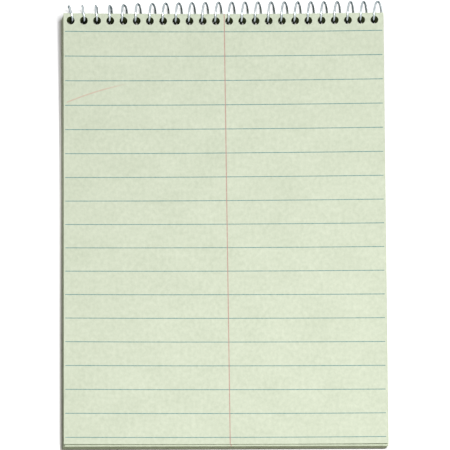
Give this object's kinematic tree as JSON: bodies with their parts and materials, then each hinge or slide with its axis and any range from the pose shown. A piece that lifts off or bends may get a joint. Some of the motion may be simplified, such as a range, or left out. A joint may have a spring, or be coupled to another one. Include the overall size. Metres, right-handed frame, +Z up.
{
  "type": "steno pad",
  "caption": "Ruled shorthand pad bound along its top edge on a round wire spiral, its card cover folded back under a stiff board.",
  "frame": {"origin": "on the table, below the middle of the whole pad", "axes": "+X to the right along the wire spiral, +Y from the foot of the pad to the spiral, +Z up out of the top sheet"},
  "size_m": [0.1544, 0.2364, 0.0124],
  "materials": {
    "paper": "matt green tint writing paper with blue green rules and a red centre line",
    "chipboard": "raw grey chipboard with flecks",
    "cover_card": "plain matt card",
    "wire": "bright plated steel wire"
  },
  "bodies": {
    "pad": {"pages": "paper", "back_board": "chipboard"},
    "spiral": {"spiral_wire": "wire"},
    "cover": {"front_cover": "cover_card"}
  },
  "joints": [
    {"name": "cover_swing", "type": "hinge", "parent": "pad", "child": "cover", "pos_m": [0, 0.1118, 0.0062], "axis": [1, 0, 0], "range_deg": [0, 180]},
    {"name": "spiral_shift", "type": "slide", "parent": "pad", "child": "spiral", "axis": [1, 0, 0], "range_m": [0, 0.0016]}
  ],
  "couplings": [
    {"joint": "spiral_shift", "follows": "cover_swing", "m_per_rad": 0.000509}
  ]
}
